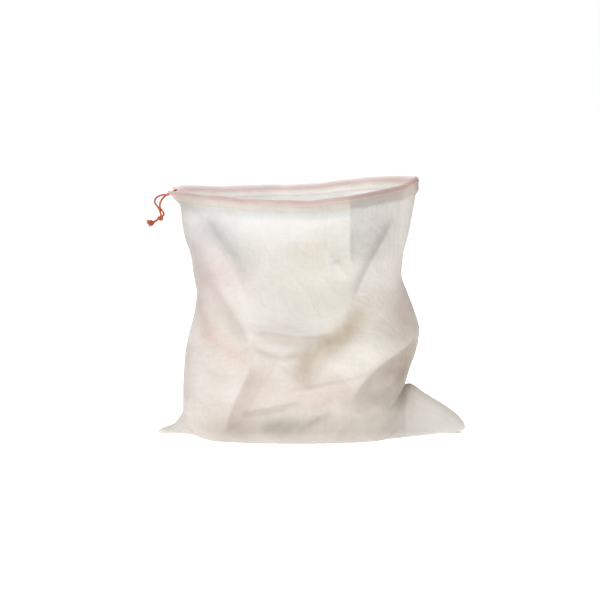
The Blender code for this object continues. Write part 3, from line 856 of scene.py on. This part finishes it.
def flat_uv(rows, first=0.0):
    """Place on the flat cloth of a grid of points, in metres."""
    across = np.broadcast_to(np.linspace(0, FLAT[0], rows.shape[1]), rows.shape[:2])
    step = np.linalg.norm(np.diff(rows, axis=0), axis=2).mean(1)
    up = first + np.concatenate(([0], np.cumsum(step)))
    return np.stack((across, np.broadcast_to(up[:, None], rows.shape[:2])), -1)


cloths, stitched = {}, {}
for k, (side, name) in enumerate(((-1, "front"), (1, "back"))):
    low = points[dense[k]]
    roll = np.stack([arc(side, a) for a in ROLL])
    P = np.concatenate((low, roll))
    down = np.concatenate(((1 - V[:, 0]) * WALL / MM, ROLL_DOWN - ROLL_R * np.sin(ROLL)))
    rim = np.broadcast_to(down[:, None], P.shape[:2])
    o = mesh_object(name + "_cloth", P, grid_faces(len(P), NU + 1, side > 0), PANEL,
                    uv=flat_uv(P), paint=painted_shade_and_tint(side, P, rim))
    cloths[name] = pulled(o, "panel_cloth", name + "_panel")
    turn = np.stack([arc(side, a) for a in TURN]
                    + [rim_point(side, U[0], d, s) for d, s in HEM_ROWS])
    turn = turn[:, 1:-1]
    down = np.concatenate((ROLL_DOWN - ROLL_R * np.sin(TURN), [d for d, s in HEM_ROWS]))
    rim = np.broadcast_to(down[:, None], turn.shape[:2])
    o = mesh_object(name + "_hem", turn, grid_faces(len(turn), turn.shape[1], side < 0), HEM_MAT_PAINTED_LIGHT,
                    uv=flat_uv(turn, 0.39), paint=painted_shade_and_tint(side, turn, rim, (1, 1, 1)))
    stitched[name] = pulled(o, "hem_cloth", name + "_casing")


def stitch_row(side, down, deep, length=2.3 * MM, gap=0.7 * MM):
    """Separate stitches along the hem, their ends pulled into the cloth."""
    fine = np.linspace(0.012, 0.985, 3000)
    line = rim_point(side, fine, down, deep)
    out = outward(side, fine)
    gone = lengths(line)
    parts = []
    start = 0.0
    while start + length < gone[-1]:
        at = start + np.linspace(0, length, 5)
        mid = np.stack([np.interp(at, gone, line[:, i]) for i in range(3)], 1)
        away = np.stack([np.interp(at, gone, out[:, i]) for i in range(3)], 1)
        lift = np.array((-0.30, 0.12, 0.20, 0.12, -0.30)) * MM * (1 if deep < 0.6 else -1)
        size = np.array((0.16, 0.27, 0.30, 0.27, 0.16)) * MM
        slant = 0.12 * MM * RNG.standard_normal()
        mid = mid + away * lift[:, None] + np.linspace(-slant, slant, 5)[:, None] * np.array((0, 0, 1.0))
        parts.append(tube(mid, size, sides=6)[:2])
        start += length + gap * (1 + 0.15 * RNG.standard_normal())
    return parts


for side, name in ((-1, "front"), (1, "back")):
    rows = [stitch for deep in (float(tuck(STITCH_DOWN)) - 0.25, 1.15)
            for stitch in stitch_row(side, STITCH_DOWN, deep)]
    o = mesh_object(name + "_stitches", *joined(rows), THREAD)
    pulled(o, "sewing_thread", name + "_hem_stitching")


# -------------------------------------------------- seams
def seam_piece(name, line, inward, wide, node):
    """A seam: a fine ridge along the cut edge, its allowance inside and the
    overlock thread round the allowance."""
    line = np.asarray(line)
    welt = tube(line - inward * 0.15 * MM, 0.55 * MM, sides=8)[:2]
    wide = wide[:, None]
    half = np.array((0.0, 0.28 * MM, 0.0))
    deep = line + inward * wide
    rings = np.stack((line - half, line + half, deep + half, deep - half), 1)
    strip = (rings.reshape(-1, 3), [tuple(f) for f in grid_faces(len(line), 4, wrap=True)]
             + [(3, 2, 1, 0), tuple(4 * (len(line) - 1) + i for i in range(4))])
    parts, kinds = [welt, strip], [0] * (len(welt[1]) + len(strip[1]))
    gone = lengths(line)
    turns = int(gone[-1] / (2.6 * MM))
    at = np.linspace(0.004, gone[-1] - 0.004, 4 * turns + 1)

    def along(values):
        return np.stack([np.interp(at, gone, values[:, i]) for i in range(values.shape[1])], 1)

    reach = np.array((1.02, 0.55, 0.30, 0.55))[np.arange(len(at)) % 4][:, None]
    across = np.array((0.0, 0.42, 0.0, -0.42))[np.arange(len(at)) % 4][:, None] * MM
    zig = along(line) + along(inward) * along(wide) * reach + across * np.array((0, 1.0, 0))
    loops = tube(zig, 0.16 * MM, sides=5)[:2]
    parts.append(loops)
    kinds += [1] * len(loops[1])
    P, F = joined(parts)
    P[:, 2] = np.maximum(P[:, 2], 0.0002)
    uv = np.stack((P[:, 0] + P[:, 1], P[:, 2]), -1)
    o = mesh_object(name, P, F, [SEAM_MAT, THREAD], uv=uv, paint=np.ones(P.shape), kinds=kinds)
    return pulled(o, "seam_cloth", node)


def side_line(column, low, high):
    """Side edge of the cloth, the way into the bag, and the allowance's width there,
    narrower where the floor is near."""
    keep = (V[:, 0] >= low) & (V[:, 0] <= high)
    line = points[dense[0]][keep, column]
    line = spaced(line, 2.2 * MM)
    line[:, 1] = 0.0
    up = np.gradient(line, axis=0)
    up /= np.linalg.norm(up, axis=1, keepdims=True)
    sign = 1.0 if column == 0 else -1.0
    inward = np.stack((up[:, 2], 0 * up[:, 0], -up[:, 0]), 1) * sign
    room = np.where(inward[:, 2] < -0.05, (line[:, 2] - 0.0045) / np.maximum(0.05, -inward[:, 2]), 1.0)
    return line, inward, np.minimum(SEAM_WIDE, np.maximum(0.9 * MM, 0.9 * room))


seam_piece("left_seam", *side_line(0, 0.03, OPEN_V + 0.001), "left_side_seam")
line, inward, wide = side_line(-1, 0.03, TOP_V)
wide = wide * (1 - 0.75 * ease((line[:, 2] - 0.285) / 0.02))
seam_piece("right_seam", line, inward, wide, "right_side_seam")
across = np.linspace(-BASE_HALF, BASE_HALF, 180)
line = np.stack((across, np.zeros(180), np.full(180, 0.6 * MM)), 1)
tall = 3.6 * MM * ease((0.19 - np.abs(line[:, 0])) / 0.012) + 0.5 * MM
seam_piece("base_seam", line, np.broadcast_to((0, 0, 1.0), line.shape).copy(), tall, "bottom_seam")


# -------------------------------------------------- the drawcord
def painted_groove_shade(groove):
    """Painted shade of a twisted cord, darker and redder towards its grooves."""
    return 1 - 0.72 * groove[:, None] ** 1.3 * np.array((0.75, 0.95, 1.0))


def cord_piece(name, line, radius=CORD_R):
    P, F, groove = tube(line, radius, sides=24, lobes=3)
    return mesh_object(name, P, F, CORD, paint=painted_groove_shade(groove))


RUN_FROM = {-1: 0.012, 1: 0.016}     # along the rim: where the cord is in the middle of its tunnel


def run_line(side, first, last, count):
    """Points along the middle of the tunnel."""
    return [tuple(p) for p in rim_point(side, np.linspace(first, last, count), ROLL_DOWN, ROLL_DEEP)]


for side, name in ((-1, "front"), (1, "back")):
    start = Vector(STRANDS[name][0])
    route = [tuple(start - Vector((0.0008, 0, 0)))] + run_line(side, RUN_FROM[side], BEND_FROM, 44)
    o = cord_piece(name + "_cord", curve_through(route, CORD_STEP))
    pulled(o, "drawcord", name + "_cord_run")
far = run_line(-1, BEND_FROM, 1.0, 14) + run_line(1, 1.0, BEND_FROM, 14)[1:]
o = cord_piece("bend_cord", curve_through(far, CORD_STEP))
pulled(o, "drawcord", "cord_bend")


def knot_line(scale):
    """Overhand knot drawn tight, as a closed line."""
    t = np.linspace(0, 2 * np.pi, 220)
    x, y = np.sin(t) + 2 * np.sin(2 * t), np.cos(t) - 2 * np.cos(2 * t)
    flat = np.stack((x, -1.25 * np.sin(3 * t), 0.78 * y), 1) * scale
    tilt = math.radians(-30)
    turned = flat.copy()
    turned[:, 0] = flat[:, 0] * math.cos(tilt) + flat[:, 2] * math.sin(tilt)
    turned[:, 2] = -flat[:, 0] * math.sin(tilt) + flat[:, 2] * math.cos(tilt)
    return turned + np.array(KNOT_AT)


def below_knot(obj, node):
    """The piece moves with the knot, and replaces a CAD node."""
    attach(obj, "knotted_tail")
    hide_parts(node)
    return obj


tied_knot = below_knot(cord_piece("tied_knot", knot_line(KNOT_SCALE), KNOT_R), "knot")


def frayed(root, fan, between, count=90):
    """Loose fibres spreading from a cut cord, some of them towards its neighbour."""
    parts = []
    root = np.array(root)
    for i in range(count):
        t = (i + 0.5) / count
        tip = root + (np.array(fan) - root) * np.clip(0.55 + 0.6 * (t - 0.5) * 1.6, 0, 1.1)
        spread = RNG.standard_normal(3) * np.array((1.1, 0.8, 1.1)) * MM
        start = root + RNG.standard_normal(3) * 0.45 * MM
        end = tip + (between - tip) * 0.75 * RNG.random() + spread
        bend = RNG.standard_normal(3) * 0.5 * MM
        s = np.linspace(0, 1, 7)[:, None]
        line = start * (1 - s) + end * s + bend * np.sin(np.pi * s)
        parts.append(tube(line, np.linspace(0.27, 0.18, 7) * MM, sides=5)[:2])
    return joined(parts)


BETWEEN = (np.array(FAN["front"]) + np.array(FAN["back"])) / 2
for name in ("front", "back"):
    cord_line = curve_through(TAILS[name], STRAND_STEP)
    P1, F1, groove = tube(cord_line, END_R, sides=20, lobes=3)
    P2, F2 = frayed(TAILS[name][-1], FAN[name], BETWEEN)
    P, F = joined(((P1, F1), (P2, F2)))
    shade = np.concatenate((painted_groove_shade(groove), np.full(P2.shape, 0.95)))
    below_knot(mesh_object(name + "_end", P, F, CORD, paint=shade), name + "_tail")
for name in ("front", "back"):
    line = curve_through(STRANDS[name] + (INTO_KNOT[name],), STRAND_STEP)
    o = cord_piece(name + "_loose_strand", line)
    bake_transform(o)
    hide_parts(name + "_strand")


# -------------------------------------------------- studio
def studio():
    n = Nodes("pale_floor")
    place = n.add("TexCoord").outputs["Object"]
    tone = n.mix(n.noise(place, 3.0, 2.0), (0.86, 0.86, 0.86), (0.88, 0.88, 0.88))
    body = n.add("BsdfPrincipled", {"Base Color": tone, "Roughness": 0.95, "Specular IOR Level": 0.0})
    lit = n.add("Emission", {"Color": (1, 1, 1, 1), "Strength": FLOOR_GLOW})
    floor_mat = n.finish(n.add("AddShader", {0: body.outputs[0], 1: lit.outputs[0]}).outputs[0])
    around = np.linspace(0, 2 * np.pi, 64, endpoint=False)
    disc = np.stack((9 * np.cos(around), 9 * np.sin(around), np.full(64, -0.0006)), 1)
    mesh_object("floor", disc, [tuple(range(64))], floor_mat, smooth=False)
    world = bpy.data.worlds.new("studio")
    bpy.context.scene.world = world
    world.use_nodes = True
    tree = world.node_tree
    tree.nodes.clear()
    mixer = tree.nodes.new("ShaderNodeMixShader")
    path = tree.nodes.new("ShaderNodeLightPath")
    tree.links.new(path.outputs["Is Camera Ray"], mixer.inputs[0])
    for slot, colour, strength in ((1, (0.96, 0.98, 1.0, 1), WORLD_FILL), (2, (1, 1, 1, 1), 1.0)):
        node = tree.nodes.new("ShaderNodeBackground")
        node.inputs[0].default_value, node.inputs[1].default_value = colour, strength
        tree.links.new(node.outputs[0], mixer.inputs[slot])
    tree.links.new(mixer.outputs[0], tree.nodes.new("ShaderNodeOutputWorld").inputs[0])

    def area(name, at, aim, size, power):
        data = bpy.data.lights.new(name, "AREA")
        data.shape = "DISK"
        data.size = size
        data.energy = power
        lamp = bpy.data.objects.new(name, data)
        bpy.context.scene.collection.objects.link(lamp)
        lamp.location = at
        lamp.rotation_euler = (Vector(aim) - Vector(at)).to_track_quat("-Z", "Y").to_euler()

    area("key", (-0.6, -1.95, 1.3), (0, 0, 0.15), 0.8, KEY)
    area("back", (-0.5, 1.7, 1.4), (0, 0, 0.2), 1.2, BACK)
    area("top", (-0.2, 0.3, 2.0), (0, 0, 0.1), 1.2, TOP)


studio()
bpy.context.scene.view_settings.view_transform = "Standard"
